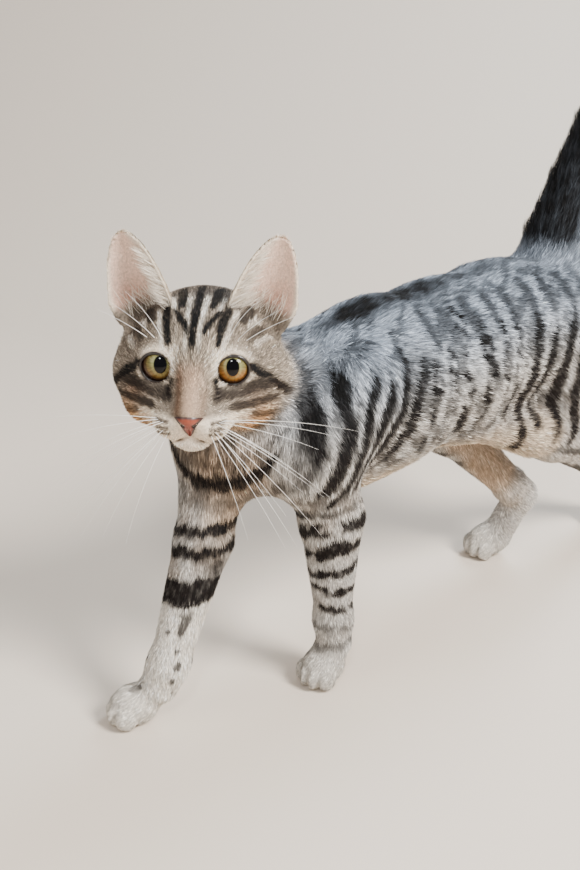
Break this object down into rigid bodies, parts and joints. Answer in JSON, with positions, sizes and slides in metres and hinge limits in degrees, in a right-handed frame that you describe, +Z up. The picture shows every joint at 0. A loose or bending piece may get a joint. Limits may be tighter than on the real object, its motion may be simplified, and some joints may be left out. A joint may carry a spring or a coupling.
{
  "type": "cat",
  "caption": "Life-size still model of a young short-haired tabby cat, walking with its head turned to its left and its tail raised; it stands on its paws.",
  "frame": {"origin": "on the floor, under the middle of the model's bounding box", "axes": "+Z up, -Y the way the trunk points and walks, +X to the cat's left"},
  "size_m": [0.1075, 0.4484, 0.3695],
  "materials": {
    "coat": "short silver and brown tabby fur",
    "pale_coat": "short pale fur",
    "dark_coat": "short near-black fur",
    "ear_skin": "thin skin with fine pale hair",
    "eye": "wet green-yellow eye with a dark pupil",
    "nose_leather": "moist brick-pink nose leather"
  },
  "bodies": {
    "root": {"upper_arm_right": "coat", "forearm_right": "coat", "fore_paw_right": "pale_coat", "upper_arm_left": "coat", "forearm_left": "coat", "fore_paw_left": "pale_coat", "thigh_right": "coat", "shank_right": "coat", "foot_right": "coat", "hind_paw_right": "pale_coat", "thigh_left": "coat", "shank_left": "coat", "foot_left": "coat", "hind_paw_left": "pale_coat", "head": "coat", "jaw": "pale_coat", "nose": "nose_leather", "eye_left": "eye", "ear_left": "ear_skin", "eye_right": "eye", "ear_right": "ear_skin", "neck": "coat", "chest": "coat", "loin": "coat", "tail_1": "coat", "tail_2": "coat", "tail_3": "dark_coat", "tail_4": "dark_coat"}
  },
  "joints": []
}
